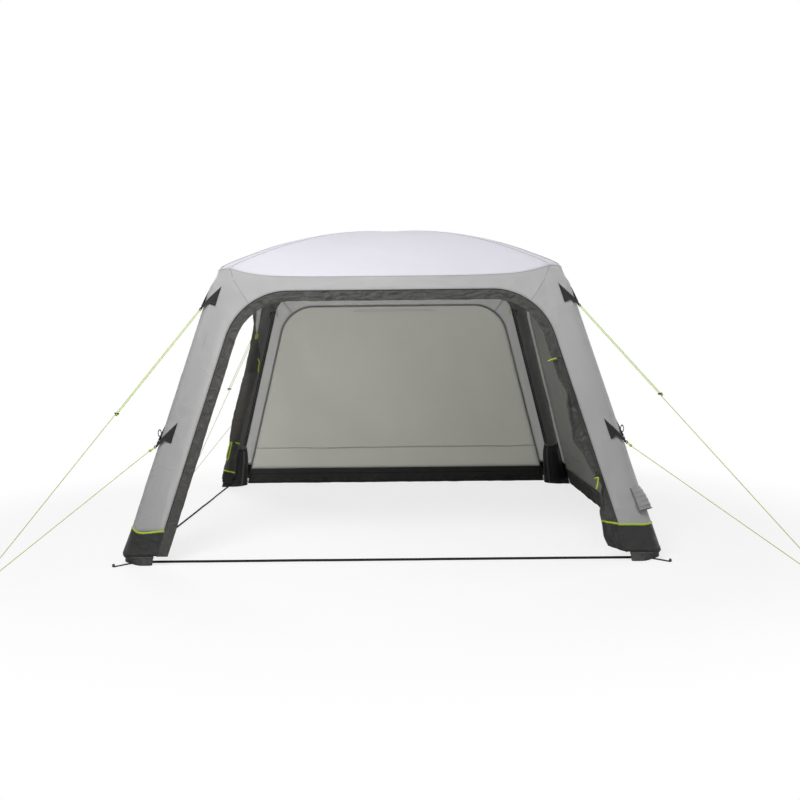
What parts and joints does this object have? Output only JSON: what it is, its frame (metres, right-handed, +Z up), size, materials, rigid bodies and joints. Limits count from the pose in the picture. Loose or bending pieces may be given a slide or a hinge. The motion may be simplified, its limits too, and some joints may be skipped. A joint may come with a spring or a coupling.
{
  "type": "inflatable tent",
  "caption": "Square inflatable day shelter: splayed air-beam legs, pale domed roof, grey arch facades, zipped-in rear and right walls, dark boots, lime guy ropes.",
  "frame": {"origin": "on the ground at the middle of the four feet", "axes": "+Z up, -Y out of the open front arch, -X out of the open left arch, +Y through the rear wall, +X through the right wall"},
  "size_m": [4.2895, 4.1724, 2.035],
  "materials": {
    "roof_fabric": "matt coated polyester, pale",
    "facade_fabric": "matt coated polyester, mid grey",
    "trim_fabric": "matt woven, dark grey",
    "boot_fabric": "coated heavy fabric, near black",
    "wall_fabric": "matt thin polyester, warm grey",
    "skirt_fabric": "coated, black",
    "sleeve_fabric": "matt woven, black",
    "bladder_film": "satin translucent film",
    "webbing": "woven webbing, black",
    "rope": "braided, lime",
    "runner_plastic": "moulded, black",
    "zip_metal": "dark coated",
    "valve_plastic": "moulded, black"
  },
  "bodies": {
    "shelter": {"air_beam_crown": "bladder_film", "air_beam_front_left": "bladder_film", "air_beam_front_right": "bladder_film", "air_beam_rear_left": "bladder_film", "air_beam_rear_right": "bladder_film", "arch_trim_front": "trim_fabric", "arch_trim_left": "trim_fabric", "beam_sleeve_front_left": "sleeve_fabric", "beam_sleeve_front_right": "sleeve_fabric", "beam_sleeve_rear_left": "sleeve_fabric", "beam_sleeve_rear_right": "sleeve_fabric", "boot_front_left": "boot_fabric", "boot_front_right": "boot_fabric", "boot_rear_left": "boot_fabric", "boot_rear_right": "boot_fabric", "facade_front": "facade_fabric", "facade_left": "facade_fabric", "facade_rear": "facade_fabric", "facade_right": "facade_fabric", "foot_pad_front_left": "webbing", "foot_pad_front_right": "webbing", "foot_pad_rear_left": "webbing", "foot_pad_rear_right": "webbing", "ground_strap_front": "webbing", "ground_strap_left": "webbing", "guy_rope_lower_front_left": "rope", "guy_rope_lower_front_right": "rope", "guy_rope_lower_rear_left": "rope", "guy_rope_lower_rear_right": "rope", "guy_rope_upper_front_left": "rope", "guy_rope_upper_front_right": "rope", "guy_rope_upper_rear_left": "rope", "guy_rope_upper_rear_right": "rope", "roof_canopy": "roof_fabric", "tie_out_lower_front_left": "webbing", "tie_out_lower_front_right": "webbing", "tie_out_lower_rear_left": "webbing", "tie_out_lower_rear_right": "webbing", "tie_out_upper_front_left": "webbing", "tie_out_upper_front_right": "webbing", "tie_out_upper_rear_left": "webbing", "tie_out_upper_rear_right": "webbing", "valve_body": "valve_plastic"},
    "rear_wall_panel": {"rear_wall": "wall_fabric", "rear_skirt": "skirt_fabric"},
    "right_wall_panel": {"right_wall": "wall_fabric", "right_skirt": "skirt_fabric"},
    "runner_body_front_left": {"runner_front_left": "runner_plastic"},
    "slider_body_front_left": {"sleeve_zip_slider_front_left": "zip_metal"},
    "runner_body_front_right": {"runner_front_right": "runner_plastic"},
    "slider_body_front_right": {"sleeve_zip_slider_front_right": "zip_metal"},
    "runner_body_rear_right": {"runner_rear_right": "runner_plastic"},
    "slider_body_rear_right": {"sleeve_zip_slider_rear_right": "zip_metal"},
    "runner_body_rear_left": {"runner_rear_left": "runner_plastic"},
    "slider_body_rear_left": {"sleeve_zip_slider_rear_left": "zip_metal"},
    "cap_body": {"valve_cap": "valve_plastic"},
    "hood_body": {"valve_hood": "facade_fabric"}
  },
  "joints": [
    {"name": "rear_wall_lift", "type": "hinge", "parent": "shelter", "child": "rear_wall_panel", "pos_m": [0, 1.09711, 1.5656], "axis": [1, 0, 0], "range_deg": [0, 85]},
    {"name": "right_wall_lift", "type": "hinge", "parent": "shelter", "child": "right_wall_panel", "pos_m": [1.09711, 0, 1.5656], "axis": [0, -1, 0], "range_deg": [0, 85]},
    {"name": "runner_slide_front_left", "type": "slide", "parent": "shelter", "child": "runner_body_front_left", "axis": [0.4832, 0.4832, 0.73], "range_m": [0, 0.45]},
    {"name": "runner_slide_front_right", "type": "slide", "parent": "shelter", "child": "runner_body_front_right", "axis": [-0.5085, 0.5085, 0.6948], "range_m": [0, 0.45]},
    {"name": "runner_slide_rear_right", "type": "slide", "parent": "shelter", "child": "runner_body_rear_right", "axis": [-0.4489, -0.4489, 0.7726], "range_m": [0, 0.45]},
    {"name": "runner_slide_rear_left", "type": "slide", "parent": "shelter", "child": "runner_body_rear_left", "axis": [0.4489, -0.4489, 0.7726], "range_m": [0, 0.45]},
    {"name": "sleeve_zip_front_left", "type": "slide", "parent": "shelter", "child": "slider_body_front_left", "axis": [-0.2621, -0.2621, -0.9287], "range_m": [0, 1.1]},
    {"name": "sleeve_zip_front_right", "type": "slide", "parent": "shelter", "child": "slider_body_front_right", "axis": [0.2621, -0.2621, -0.9287], "range_m": [0, 1.1]},
    {"name": "sleeve_zip_rear_right", "type": "slide", "parent": "shelter", "child": "slider_body_rear_right", "axis": [0.2621, 0.2621, -0.9287], "range_m": [0, 1.1]},
    {"name": "sleeve_zip_rear_left", "type": "slide", "parent": "shelter", "child": "slider_body_rear_left", "axis": [-0.2621, 0.2621, -0.9287], "range_m": [0, 1.1]},
    {"name": "valve_cap_turn", "type": "hinge", "parent": "shelter", "child": "cap_body", "pos_m": [1.39415, -1.39415, 0.29], "axis": [0.6567, -0.6567, 0.3707], "range_deg": [0, 90]},
    {"name": "valve_hood_lift", "type": "hinge", "parent": "shelter", "child": "hood_body", "pos_m": [1.41186, -1.41186, 0.40434], "axis": [-0.7071, -0.7071, 0], "range_deg": [0, 100]}
  ]
}
